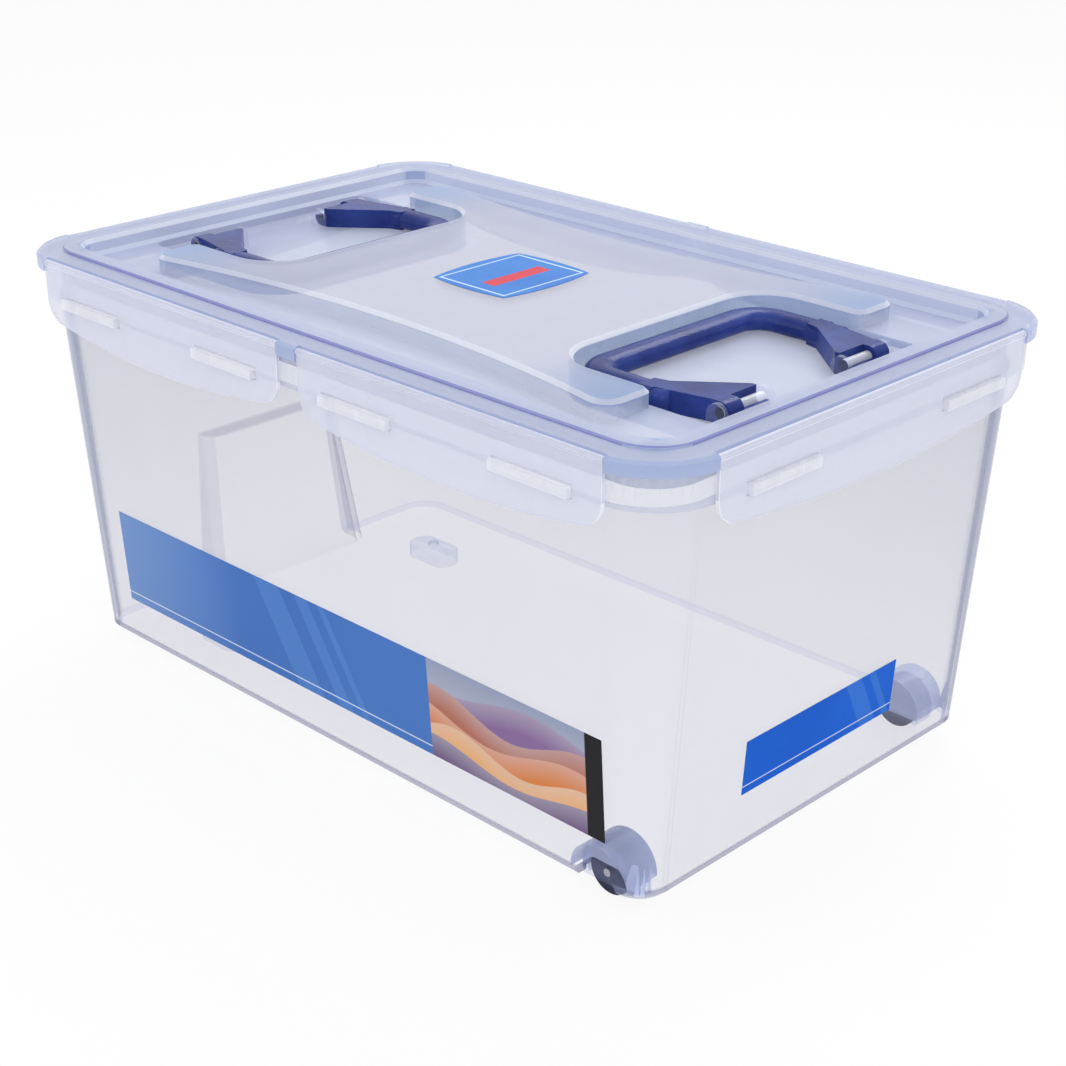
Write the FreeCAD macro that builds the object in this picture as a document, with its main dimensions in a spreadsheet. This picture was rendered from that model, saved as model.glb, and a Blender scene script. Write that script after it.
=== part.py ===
import FreeCAD, Part
import os
import re
import Sketcher

# Clear storage tub with a latched lid, two folding handles and two wheels.
# Millimetres. +X is the wheel end, -Y is the labelled front, z = 0 is the ground.

doc = FreeCAD.newDocument("storage_container")
sheet = doc.addObject("Spreadsheet::Sheet", "sizes")

# Driving dimensions
driving = {
    # tub
    "ground_clearance": 8.5,
    "tub_length": 412.6,
    "tub_width": 250.4,
    "tub_height": 214.0,
    "wall_flare": 14.2,
    "tub_wall": 2.2,
    "tub_floor": 2.6,
    "base_corner": 17.0,
    "base_bevel": 3.0,
    "lip_height": 1.5,
    "collar_height": 17.0,
    # hand alcove in the left end wall
    "alcove_height": 91.0,
    "alcove_width_top": 92.0,
    "alcove_width_base": 108.0,
    "alcove_depth_top": 12.0,
    "alcove_depth_base": 20.0,
    "alcove_corner": 9.0,
    # lid
    "end_overhang": 9.5,
    "side_overhang": 7.3,
    "corner_growth": 5.8,
    "lid_wall": 2.0,
    "edge_height": 7.0,
    "edge_wall": 2.2,
    "collar_gap": 1.8,
    "ridge_height": 1.5,
    "plug_gap": 2.1,
    "ring_width": 11.2,
    "edge_bevel": 1.6,
    "ridge_bevel": 0.7,
    "plateau_bevel": 2.0,
    "channel_bevel": 2.0,
    "well_bevel": 3.0,
    "channel_depth": 8.8,
    "well_depth": 15.7,
    "well_floor_wall": 2.6,
    # plateau and handle wells of the lid
    "waist_depth": 16.0,
    "horn_width": 29.5,
    "horn_length": 63.0,
    "horn_corner": 10.0,
    "horn_nose": 6.0,
    "well_margin": 27.0,
    "well_corner": 26.0,
    "well_end_corner": 8.0,
    # seal
    "seal_height": 2.8,
    "seal_width": 8.2,
    "seal_fit": 0.2,
    # latches
    "latch_gap": 15.0,
    "latch_margin": 32.5,
    "end_latch_margin": 35.7,
    "latch_drop": 38.0,
    "latch_bow": 6.5,
    "latch_corner": 13.0,
    "latch_thickness": 2.0,
    "hinge_bead": 1.6,
    "hinge_drop": 2.3,
    "hinge_inset": 1.7,
    "hinge_gap": 0.3,
    "latch_end_gap": 0.6,
    # latch nubs on the collar
    "nub_length": 46.0,
    "nub_height": 5.0,
    "nub_reach": 2.0,
    "nub_margin": 80.0,
    "end_nub_margin": 83.0,
    "slot_gap": 0.8,
    # handles
    "pivot_margin": 18.0,
    "pin_radius": 2.8,
    "pin_fit": 0.08,
    "handle_thickness": 10.5,
    "handle_lift": 0.3,
    "handle_length": 84.0,
    "handle_margin": 78.7,
    "handle_gap": 6.5,
    "grip_gap": 2.0,
    "handle_corner": 15.0,
    "arm_width": 15.0,
    "arm_length": 51.0,
    "paddle_blend": 12.0,
    "hook_margin": 10.0,
    "hook_width": 28.0,
    "hook_window": 18.0,
    "grip_bevel": 3.0,
    "lug_thickness": 3.0,
    "lug_radius": 5.0,
    "lug_gap": 0.5,
    # wheels
    "wheel_radius": 12.0,
    "wheel_width": 9.0,
    "wheel_inset": 28.3,
    "wheel_tuck": 14.7,
    "axle_radius": 2.0,
    "axle_fit": 0.08,
    "wheel_gap": 0.5,
    "holder_wall": 1.5,
    "holder_drop": 2.5,
    "holder_gap": 1.0,
    "well_gap": 0.3,
    "well_wall": 2.0,
    "arch_width": 25.0,
    "arch_height": 8.5,
    "arch_corner": 6.0,
    # feet
    "foot_length": 34.0,
    "foot_width": 18.0,
    "foot_corner": 8.0,
    "foot_inset": 56.3,
    "foot_tuck": 45.2,
    "foot_stem": 3.0,
    "foot_fit": 0.1,
    # labels
    "label_thickness": 0.3,
    "front_label_left": 34.3,
    "front_label_right": 20.7,
    "front_label_low": 27.0,
    "front_label_high": 80.5,
    "end_label_front": 64.6,
    "end_label_rear": 71.7,
    "end_label_low": 33.0,
    "end_label_high": 61.5,
    "sticker_length": 50.0,
    "sticker_width": 60.0,
    "sticker_bow": 130.0,
}
for row, (alias, number) in enumerate(driving.items(), 1):
    sheet.set(f"A{row}", alias)
    sheet.set(f"B{row}", str(number))
    sheet.setAlias(f"B{row}", alias)
doc.recompute()

# Sizes that follow from the driving dimensions, as expressions
follows = {
    "lid_length": "tub_length + 2 * wall_flare + 2 * end_overhang",
    "lid_width": "tub_width + 2 * wall_flare + 2 * side_overhang",
    "lid_corner": "base_corner + wall_flare + corner_growth",
    "ridge_inset": "end_overhang + tub_wall + plug_gap",
    "latch_width": "lid_length / 2 - latch_gap / 2 - latch_margin",
    "latch_centre": "(latch_gap + latch_width) / 2",
    "end_latch_width": "lid_width - 2 * end_latch_margin",
    "nub_spacing": "latch_width - nub_margin",
    "end_nub_spacing": "end_latch_width - end_nub_margin",
    "well_end": "lid_length / 2 - well_margin",
    "pivot_reach": "well_end - pivot_margin",
    "grip_reach": "pivot_reach - handle_length",
    "paddle_root": "grip_reach + arm_length",
    "paddle_start": "paddle_root - paddle_blend",
    "hook_flat": "pivot_reach - handle_thickness / 2",
    "well_start": "grip_reach - grip_gap",
    "horn_reach": "well_start + horn_length",
    "handle_width": "lid_width - 2 * handle_margin",
    "hook_outer": "handle_width / 2 - hook_margin",
    "hook_inner": "hook_outer - hook_width",
    "well_width": "handle_width + 2 * handle_gap",
    "plateau_width": "well_width + 2 * horn_width",
    "plateau_waist": "plateau_width - 2 * waist_depth",
    "wheel_reach": "tub_length / 2 - wheel_inset",
    "wheel_side": "tub_width / 2 - wheel_tuck",
    "foot_reach": "tub_length / 2 - foot_inset",
    "foot_side": "tub_width / 2 - foot_tuck",
    "front_label_start": "front_label_left - tub_length / 2",
    "front_label_end": "tub_length / 2 - front_label_right",
    "end_label_start": "end_label_front - tub_width / 2",
    "end_label_end": "tub_width / 2 - end_label_rear",
}

# Heights worked out in the same way
rim_top = "(ground_clearance + tub_height)"
seal_base = f"({rim_top} + lip_height)"
ledge_base = f"({seal_base} + seal_height)"
ledge_top = f"({ledge_base} + lid_wall)"
edge_base = f"({ledge_top} - edge_height)"
ridge_top = f"({ledge_top} + ridge_height)"
channel_floor = f"({ridge_top} - channel_depth)"
well_floor = f"({ridge_top} - well_depth)"
plug_base = f"({well_floor} - well_floor_wall)"
pivot_height = f"({well_floor} + handle_lift + handle_thickness / 2)"
hinge_height = f"({ledge_top} - hinge_drop)"
collar_base = f"({rim_top} - collar_height)"
wheel_well_radius = "(wheel_radius + holder_gap + holder_wall + well_gap)"
draft = "atan(wall_flare / tub_height)"
holder_length = "(wheel_width + 2 * wheel_gap + 2 * holder_wall)"


# An expression with each name read from the sheet, or written out where it follows from other sizes
def full(text):
    def spell(match):
        name = match[0]
        if name in follows:
            return f"({full(follows[name])})"
        return f"sizes.{name}" if name in driving else name
    return re.sub(r"[a-z_]+", spell, str(text))


def value(text):
    return float(sheet.evalExpression(full(text)))


def bind(item, prop, text):
    item.setExpression(prop, full(text))


def new_body(name):
    body = doc.addObject("PartDesign::Body", name)
    body.Label = name
    return body


def origin_plane(body, role):
    return next(f for f in body.Origin.OriginFeatures if f.Role == role)


# An outline is a list of corners (x, y), or (x, y, radius, turn) where an arc runs on to the next corner,
# turning left for 1 and right for -1. Every corner is bound to the sheet.
def arc_crown(start, end, radius, turn):
    chord = end - start
    across = FreeCAD.Vector(-chord.y, chord.x, 0).normalize()
    rise = max(radius ** 2 - chord.Length ** 2 / 4, 0.0) ** 0.5
    return (start + end) / 2 - across * (turn * (radius - rise))


def tie_point(sketch, geometry, point, x, y):
    for axis, kind, text in ((-2, "DistanceX", x), (-1, "DistanceY", y)):
        if text == "0":
            sketch.addConstraint(Sketcher.Constraint("PointOnObject", geometry, point, axis))
            continue
        index = sketch.addConstraint(Sketcher.Constraint(kind, -1, 1, geometry, point, value(text)))
        bind(sketch, f"Constraints[{index}]", text)


def tie_radius(sketch, geometry, radius):
    index = sketch.addConstraint(Sketcher.Constraint("Radius", geometry, value(radius)))
    bind(sketch, f"Constraints[{index}]", radius)


def draw(sketch, outline, closed=True):
    corners = [FreeCAD.Vector(value(c[0]), value(c[1]), 0) for c in outline]
    first = sketch.GeometryCount
    count = len(outline) if closed else len(outline) - 1
    ends = []
    for i, corner in enumerate(outline[:count]):
        start = corners[i]
        end = corners[(i + 1) % len(corners)]
        if len(corner) == 2:
            sketch.addGeometry(Part.LineSegment(start, end))
            ends.append((1, 2))
        else:
            crown = arc_crown(start, end, value(corner[2]), corner[3])
            sketch.addGeometry(Part.Arc(start, crown, end))
            ends.append((1, 2) if corner[3] > 0 else (2, 1))
    for i, corner in enumerate(outline[:count]):
        tie_point(sketch, first + i, ends[i][0], corner[0], corner[1])
        if len(corner) > 2:
            tie_radius(sketch, first + i, corner[2])
        after = (i + 1) % count
        if closed or after:
            joint = Sketcher.Constraint("Coincident", first + i, ends[i][1], first + after, ends[after][0])
            sketch.addConstraint(joint)
    if not closed:
        tie_point(sketch, first + count - 1, ends[-1][1], *outline[-1])


def draw_circle(sketch, x, y, radius):
    centre = FreeCAD.Vector(value(x), value(y), 0)
    here = sketch.addGeometry(Part.Circle(centre, FreeCAD.Vector(0, 0, 1), value(radius)))
    tie_radius(sketch, here, radius)
    tie_point(sketch, here, 3, x, y)


def new_sketch(body, name, role, shift, outlines, circles=(), path=None):
    sketch = body.newObject("Sketcher::SketchObject", name)
    sketch.AttachmentSupport = [(origin_plane(body, role), "")]
    sketch.MapMode = "FlatFace"
    bind(sketch, "AttachmentOffset.Base.z", shift)
    for outline in outlines:
        draw(sketch, outline)
    for circle in circles:
        draw_circle(sketch, *circle)
    if path:
        draw(sketch, path, closed=False)
    return sketch


def rounded(length, width, radius, middle_x="0", middle_y="0"):
    left = f"{middle_x} - ({length}) / 2"
    right = f"{middle_x} + ({length}) / 2"
    low = f"{middle_y} - ({width}) / 2"
    high = f"{middle_y} + ({width}) / 2"
    r = f"({radius})"
    return [
        (f"{left} + {r}", low),
        (f"{right} - {r}", low, r, 1),
        (right, f"{low} + {r}"),
        (right, f"{high} - {r}", r, 1),
        (f"{right} - {r}", high),
        (f"{left} + {r}", high, r, 1),
        (left, f"{high} - {r}"),
        (left, f"{low} + {r}", r, 1),
    ]


def bevelled(length, width, cut, middle_x="0", middle_y="0"):
    left = f"{middle_x} - ({length}) / 2"
    right = f"{middle_x} + ({length}) / 2"
    low = f"{middle_y} - ({width}) / 2"
    high = f"{middle_y} + ({width}) / 2"
    return [
        (f"{left} + {cut}", low),
        (f"{right} - {cut}", low),
        (right, f"{low} + {cut}"),
        (right, f"{high} - {cut}"),
        (f"{right} - {cut}", high),
        (f"{left} + {cut}", high),
        (left, f"{high} - {cut}"),
        (left, f"{low} + {cut}"),
    ]


def box(left, right, low, high):
    return [(left, low), (right, low), (right, high), (left, high)]


def inset(amount):
    return rounded(f"lid_length - 2 * ({amount})", f"lid_width - 2 * ({amount})", f"lid_corner - ({amount})")


def pad(body, name, sketch, length, backwards=False):
    feature = body.newObject("PartDesign::Pad", name)
    feature.Profile = sketch
    feature.Reversed = backwards
    bind(feature, "Length", length)
    doc.recompute()
    return feature


# A pad that runs on to the face that is wanted, and on into it
def pad_to(body, name, sketch, bite, wanted):
    base = body.Tip
    faces = [f"Face{i}" for i, face in enumerate(base.Shape.Faces, 1) if wanted(face)]
    feature = body.newObject("PartDesign::Pad", name)
    feature.Profile = sketch
    feature.Type = "UpToFace"
    feature.UpToFace = (base, faces[:1])
    bind(feature, "Offset", bite)
    doc.recompute()
    return feature


# A pocket has to remove material: its direction is along the normal of its sketch when forwards is set.
def pocket(body, name, sketch, length, forwards=False):
    before = body.Shape.Volume
    feature = body.newObject("PartDesign::Pocket", name)
    feature.Profile = sketch
    feature.Reversed = forwards
    bind(feature, "Length", length)
    doc.recompute()
    if body.Shape.Volume > before - 1e-6:
        raise RuntimeError(f"{body.Label}: {name} cuts nothing")
    return feature


def loft(body, name, kind, sections):
    feature = body.newObject(f"PartDesign::{kind}", name)
    feature.Profile = sections[0]
    feature.Sections = sections[1:]
    feature.Ruled = True
    doc.recompute()
    return feature


def mirror(body, name, features, role):
    feature = body.newObject("PartDesign::Mirrored", name)
    feature.Originals = features
    feature.MirrorPlane = (origin_plane(body, role), [""])
    body.Tip = feature
    doc.recompute()
    return feature


def dress(body, name, kind, prop, size, wanted):
    base = body.Tip
    names = [f"Edge{i}" for i, edge in enumerate(base.Shape.Edges, 1) if wanted(edge)]
    if not names:
        raise RuntimeError(f"{body.Label}: {name} finds no edge")
    feature = body.newObject(f"PartDesign::{kind}", name)
    feature.Base = (base, names)
    bind(feature, prop, size)
    doc.recompute()
    return feature


def fillet(body, name, radius, wanted):
    return dress(body, name, "Fillet", "Radius", radius, wanted)


def chamfer(body, name, size, wanted):
    return dress(body, name, "Chamfer", "Size", size, wanted)


def lies_at(item, height):
    limits = item.BoundBox
    return abs(limits.ZMin - height) < 1e-4 and abs(limits.ZMax - height) < 1e-4


# Walls that stand on a level face lean outwards from it by the draft angle, seen from inside or outside
def lean_walls(body, name, ground, wanted, inside=False):
    base = body.Tip
    faces = list(enumerate(base.Shape.Faces, 1))
    feature = body.newObject("PartDesign::Draft", name)
    feature.Base = (base, [f"Face{i}" for i, face in faces if wanted(face)])
    feature.NeutralPlane = (base, [f"Face{i}" for i, face in faces if lies_at(face, value(ground))][:1])
    feature.Reversed = not inside
    bind(feature, "Angle", draft)
    doc.recompute()
    return feature


# True for an edge whose middle lies outside a box round the origin, drawn in by a margin
def beyond(edge, half_length, half_width, margin):
    middle = edge.CenterOfMass
    slack = 0.1
    outside_x = abs(middle.x) > value(f"{half_length} - ({margin})") + slack
    return outside_x or abs(middle.y) > value(f"{half_width} - ({margin})") + slack


# The outer face of a drafted tub wall stands this far from the middle at a height above the base
def wall_at(side, height):
    return f"({side} / 2 + wall_flare * ({height}) / tub_height)"


def tub_outline(height, skin):
    growth = f"2 * wall_flare * ({height}) / tub_height - 2 * ({skin})"
    corner = f"base_corner + wall_flare * ({height}) / tub_height - ({skin})"
    return rounded(f"tub_length + {growth}", f"tub_width + {growth}", corner)


def alcove_outline(height, width, depth, back):
    wall = wall_at("tub_length", height)
    left = f"-{wall} + ({back})"
    right = f"-{wall} + ({depth})"
    y = f"({width}) / 2"
    r = "alcove_corner"
    return [
        (left, f"-{y}"),
        (f"{right} - {r}", f"-{y}", r, 1),
        (right, f"-{y} + {r}"),
        (right, f"{y} - {r}", r, 1),
        (f"{right} - {r}", y),
        (left, y),
    ]


def arch(x, radius, middle, low):
    return [
        (f"{x} - {radius}", low),
        (f"{x} + {radius}", low),
        (f"{x} + {radius}", middle, radius, 1),
        (x, f"{middle} + {radius}", radius, 1),
        (f"{x} - {radius}", middle),
    ]


# Tub
def make_tub():
    body = new_body("tub")
    base = "ground_clearance"
    foot = new_sketch(body, "tub_base_outline", "XY_Plane", base, [tub_outline("0", "0")])
    pad(body, "tub_shell", foot, "tub_height")
    lean_walls(body, "tub_draft", base, lambda face: face.BoundBox.ZLength > 1.0)
    chamfer(body, "tub_base_edge", "base_bevel", lambda edge: lies_at(edge, value(base)))
    collar = new_sketch(body, "collar_outline", "XY_Plane", collar_base, [inset("edge_wall + collar_gap")])
    pad(body, "collar", collar, "collar_height")
    lip = new_sketch(body, "lip_outline", "XY_Plane", rim_top, [tub_outline("tub_height", "0")])
    pad(body, "lip", lip, "lip_height")
    floor = f"({base} + tub_floor)"
    hollow = new_sketch(body, "cavity_outline", "XY_Plane", floor, [tub_outline("tub_floor", "tub_wall")])
    pocket(body, "cavity", hollow, f"{seal_base} - {floor}", True)
    level = value(floor)
    lean_walls(body, "cavity_draft", floor, lambda face: abs(face.BoundBox.ZMin - level) < 1e-4
               and face.BoundBox.ZLength > 1.0, inside=True)

    # alcove: an inner skin is added to the end wall, then the hand space is cut from outside
    root = "tub_floor / 2"
    shelf = "alcove_height + tub_wall"
    in_wall = "tub_wall / 2"
    past_wall = "-3 * tub_wall"
    skin_low = alcove_outline(root, "alcove_width_base + 2 * tub_wall", "alcove_depth_base + tub_wall", in_wall)
    skin_high = alcove_outline(shelf, "alcove_width_top + 2 * tub_wall", "alcove_depth_top + tub_wall", in_wall)
    sections = [
        new_sketch(body, "alcove_skin_base", "XY_Plane", f"{base} + {root}", [skin_low]),
        new_sketch(body, "alcove_skin_top", "XY_Plane", f"{base} + {shelf}", [skin_high]),
    ]
    loft(body, "alcove_skin", "AdditiveLoft", sections)
    cut_low = alcove_outline("-tub_floor", "alcove_width_base", "alcove_depth_base", past_wall)
    cut_high = alcove_outline("alcove_height", "alcove_width_top", "alcove_depth_top", past_wall)
    sections = [
        new_sketch(body, "alcove_base", "XY_Plane", f"{base} - tub_floor", [cut_low]),
        new_sketch(body, "alcove_top", "XY_Plane", f"{base} + alcove_height", [cut_high]),
    ]
    loft(body, "alcove", "SubtractiveLoft", sections)

    # wheel wells: a housing inside, the hollow for the holder, and an arch through the long wall
    inner = f"wheel_side - {holder_length} / 2 - well_gap"
    outer = f"wheel_side + {holder_length} / 2 + well_gap"
    wall = wall_at("tub_width", "tub_floor")
    root = f"{base} + 3 * tub_floor / 4"
    dome = arch("wheel_reach", f"({wheel_well_radius} + well_wall)", "wheel_radius", root)
    start = f"{inner} - well_wall"
    housing_sketch = new_sketch(body, "wheel_housing_outline", "XZ_Plane", start, [dome])
    housing = pad_to(body, "wheel_housing", housing_sketch, "tub_wall / 4", lambda face: face.CenterOfMass.y
                     < -value(start) and face.BoundBox.ZLength > value("tub_height / 2")
                     and abs(face.BoundBox.ZMin - level) < 1e-3 and face.Surface.TypeId == "Part::GeomPlane")
    mirror(body, "wheel_housings", [housing], "XZ_Plane")
    hollow_sketch = new_sketch(
        body, "wheel_hollow_outline", "XZ_Plane", inner,
        [arch("wheel_reach", wheel_well_radius, "wheel_radius", f"{base} - base_bevel")])
    hollow = pocket(body, "wheel_hollow", hollow_sketch, f"{outer} - ({inner})", True)
    mirror(body, "wheel_hollows", [hollow], "XZ_Plane")
    half = "arch_width / 2"
    crown = f"{base} + arch_height"
    doorway = [
        (f"wheel_reach - {half}", f"{base} - base_bevel"),
        (f"wheel_reach + {half}", f"{base} - base_bevel"),
        (f"wheel_reach + {half}", f"{crown} - arch_corner", "arch_corner", 1),
        (f"wheel_reach + {half} - arch_corner", crown),
        (f"wheel_reach - {half} + arch_corner", crown, "arch_corner", 1),
        (f"wheel_reach - {half}", f"{crown} - arch_corner"),
    ]
    arch_sketch = new_sketch(body, "wheel_arch_outline", "XZ_Plane", f"{outer} - well_gap", [doorway])
    opening = pocket(body, "wheel_arch", arch_sketch, f"{wall} + wall_flare - ({outer})", True)
    mirror(body, "wheel_arches", [opening], "XZ_Plane")

    # latch nubs
    reach = "edge_wall + collar_gap + nub_reach"
    low = collar_base
    high = f"{collar_base} + nub_height"
    seat = "lid_width / 2 - 2 * edge_wall - collar_gap"
    spots = [f"{side} * latch_centre + {step} * nub_spacing / 2" for side in (-1, 1) for step in (-1, 1)]
    row = [box(f"{spot} - nub_length / 2", f"{spot} + nub_length / 2", low, high) for spot in spots]
    sketch = new_sketch(body, "side_nub_outline", "XZ_Plane", seat, row)
    nubs = pad(body, "side_nubs", sketch, f"{reach} + edge_wall")
    mirror(body, "side_nub_pair", [nubs], "XZ_Plane")
    seat = "lid_length / 2 - 2 * edge_wall - collar_gap"
    spots = [f"{step} * end_nub_spacing / 2" for step in (-1, 1)]
    row = [box(f"{spot} - nub_length / 2", f"{spot} + nub_length / 2", low, high) for spot in spots]
    sketch = new_sketch(body, "end_nub_outline", "YZ_Plane", seat, row)
    nubs = pad(body, "end_nubs", sketch, f"{reach} + edge_wall")
    mirror(body, "end_nub_pair", [nubs], "YZ_Plane")

    # sockets for the stems of the feet
    sockets = [("-foot_reach", f"{side} * foot_side", "foot_stem + foot_fit") for side in (-1, 1)]
    sketch = new_sketch(body, "foot_socket_outline", "XY_Plane", f"{base} - tub_floor", [], sockets)
    pocket(body, "foot_sockets", sketch, "3 * tub_floor", True)
    return body


# The plateau seen from above, drawn in by a skin all round: two horns at each end, and waisted long sides whose
# arcs run smoothly into the corners of the horns
def plateau_outline(skin):
    waist = f"(plateau_waist / 2 - {skin})"
    wide = f"(plateau_width / 2 - {skin})"
    tip = f"(horn_reach - {skin})"
    start = f"(well_start - {skin})"
    side = f"(well_width / 2 + {skin})"
    corner = "horn_corner"
    nose = "horn_nose"
    bend = f"(well_corner + {skin})"
    run = f"({tip} - {corner})"
    drop = f"({waist} - {wide} + {corner})"
    sweep = f"(({run} ^ 2 + {drop} ^ 2 - {corner} ^ 2) / (2 * ({wide} - {waist})))"
    join_x = f"({run} * {sweep} / ({sweep} + {corner}))"
    join_y = f"({wide} - {corner} + {corner} * ({sweep} + {drop}) / ({sweep} + {corner}))"
    return [
        (join_x, f"-{join_y}", corner, 1),
        (tip, f"-{wide} + {corner}"),
        (tip, f"-{side} - {nose}", nose, 1),
        (f"{tip} - {nose}", f"-{side}"),
        (f"{start} + {bend}", f"-{side}", bend, -1),
        (start, f"-{side} + {bend}"),
        (start, f"{side} - {bend}", bend, -1),
        (f"{start} + {bend}", side),
        (f"{tip} - {nose}", side, nose, 1),
        (tip, f"{side} + {nose}"),
        (tip, f"{wide} - {corner}", corner, 1),
        (join_x, join_y, sweep, -1),
        (f"-{join_x}", join_y, corner, 1),
        (f"-{tip}", f"{wide} - {corner}"),
        (f"-{tip}", f"{side} + {nose}", nose, 1),
        (f"-{tip} + {nose}", side),
        (f"-{start} - {bend}", side, bend, -1),
        (f"-{start}", f"{side} - {bend}"),
        (f"-{start}", f"-{side} + {bend}", bend, -1),
        (f"-{start} - {bend}", f"-{side}"),
        (f"-{tip} + {nose}", f"-{side}", nose, 1),
        (f"-{tip}", f"-{side} - {nose}"),
        (f"-{tip}", f"-{wide} + {corner}", corner, 1),
        (f"-{join_x}", f"-{join_y}", sweep, -1),
    ]


# A handle well seen from above, grown by a skin all round
def well_outline(skin, hand):
    start = f"(well_start - {skin})"
    end = f"(well_end + {skin})"
    side = f"(well_width / 2 + {skin})"
    bend = f"(well_corner + {skin})"
    tight = f"(well_end_corner + {skin})"
    corners = [
        (f"{start} + {bend}", f"-{side}"),
        (f"{end} - {tight}", f"-{side}", tight, 1),
        (end, f"-{side} + {tight}"),
        (end, f"{side} - {tight}", tight, 1),
        (f"{end} - {tight}", side),
        (f"{start} + {bend}", side, bend, 1),
        (start, f"{side} - {bend}"),
        (start, f"-{side} + {bend}", bend, 1),
    ]
    if hand < 0:
        return [(f"-({c[0]})", f"-({c[1]})", *c[2:]) for c in corners]
    return corners


# Lid
def make_lid():
    body = new_body("lid")
    sketch = new_sketch(body, "brim_outline", "XY_Plane", edge_base, [inset("0")])
    pad(body, "brim", sketch, "edge_height")
    chamfer(body, "brim_edge", "edge_bevel", lambda edge: lies_at(edge, value(ledge_top)))
    sketch = new_sketch(body, "ridge_outline", "XY_Plane", ledge_top, [inset("ridge_inset")])
    pad(body, "ridge", sketch, "ridge_height")
    chamfer(body, "ridge_edge", "ridge_bevel", lambda edge: lies_at(edge, value(ridge_top)))
    sketch = new_sketch(body, "plug_outline", "XY_Plane", plug_base, [inset("ridge_inset")])
    pad(body, "plug", sketch, f"{ledge_top} - {plug_base}")
    walls = [inset("edge_wall"), inset("ridge_inset")]
    sketch = new_sketch(body, "seal_channel_outline", "XY_Plane", edge_base, walls)
    pocket(body, "seal_channel", sketch, "edge_height - lid_wall", True)

    # top: the channel round the plateau, then the deeper handle wells
    ring = "ridge_inset + ring_width"
    sketch = new_sketch(body, "channel_outline", "XY_Plane", ridge_top, [inset(ring), plateau_outline("0")])
    pocket(body, "channel", sketch, "channel_depth")
    chamfer(body, "plateau_edges", "plateau_bevel",
           lambda edge: lies_at(edge, value(ridge_top))
           and not beyond(edge, "lid_length / 2", "lid_width / 2", ring))
    chamfer(body, "channel_edges", "channel_bevel",
            lambda edge: lies_at(edge, value(channel_floor))
            and beyond(edge, "horn_reach", "plateau_width / 2", "0"))
    wells = [well_outline("0", hand) for hand in (1, -1)]
    sketch = new_sketch(body, "well_outlines", "XY_Plane", ridge_top, wells)
    pocket(body, "handle_wells", sketch, "well_depth")
    chamfer(body, "well_edges", "well_bevel", lambda edge: lies_at(edge, value(well_floor)))

    # underside: hollow below the channel, the plateau and the ring
    walls = [inset("ridge_inset + lid_wall"), well_outline("lid_wall", 1), well_outline("lid_wall", -1)]
    sketch = new_sketch(body, "hollow_outline", "XY_Plane", plug_base, walls)
    pocket(body, "hollow", sketch, f"{channel_floor} - lid_wall - {plug_base}", True)
    sketch = new_sketch(body, "plateau_hollow_outline", "XY_Plane", plug_base, [plateau_outline("lid_wall")])
    pocket(body, "plateau_hollow", sketch, f"{ridge_top} - lid_wall - {plug_base}", True)
    walls = [inset("ridge_inset + lid_wall"), inset(f"{ring} - lid_wall")]
    sketch = new_sketch(body, "ring_hollow_outline", "XY_Plane", plug_base, walls)
    pocket(body, "ring_hollow", sketch, f"{ridge_top} - lid_wall - {plug_base}", True)

    # notches in the edge for the hinge beads of the latches
    depth = "hinge_inset + hinge_bead + hinge_gap"
    half = "(latch_width / 2 + latch_end_gap)"
    notches = []
    for side in (-1, 1):
        edge = f"{side} * lid_width / 2"
        for spot in (-1, 1):
            middle = f"{spot} * latch_centre"
            ends = sorted((f"{edge} - {side} * ({depth})", f"{edge} + {side} * edge_wall"), key=value)
            notches.append(box(f"{middle} - {half}", f"{middle} + {half}", *ends))
        edge = f"{side} * lid_length / 2"
        ends = sorted((f"{edge} - {side} * ({depth})", f"{edge} + {side} * edge_wall"), key=value)
        span = "(end_latch_width / 2 + latch_end_gap)"
        notches.append(box(*ends, f"-{span}", span))
    sketch = new_sketch(body, "hinge_notch_outline", "XY_Plane", edge_base, notches)
    pocket(body, "hinge_notches", sketch, "edge_height", True)

    # pivot pins of the handles, each held between two lugs on the floor of its well
    inner = "hook_inner - lug_gap - lug_thickness"
    outer = "hook_outer + lug_gap"
    pins = [(f"{side} * pivot_reach", pivot_height, "pin_radius") for side in (-1, 1)]
    sketch = new_sketch(body, "pin_outline", "XZ_Plane", inner, [], pins)
    parts = [pad(body, "pivot_pins", sketch, f"{outer} + lug_thickness - ({inner})")]
    root = f"{well_floor} - lid_wall / 2"
    lugs = [arch(f"{side} * pivot_reach", "lug_radius", pivot_height, root) for side in (-1, 1)]
    for name, place in (("inner_lugs", inner), ("outer_lugs", outer)):
        sketch = new_sketch(body, f"{name}_outline", "XZ_Plane", place, lugs)
        parts.append(pad(body, name, sketch, "lug_thickness"))
    mirror(body, "rear_pivots", parts, "XZ_Plane")
    return body


# Seal
def make_seal():
    body = new_body("seal")
    ring = [inset("ridge_inset - seal_fit - seal_width"), inset("ridge_inset - seal_fit")]
    sketch = new_sketch(body, "seal_outline", "XY_Plane", seal_base, ring)
    pad(body, "seal_ring", sketch, "seal_height")
    return body


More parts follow.
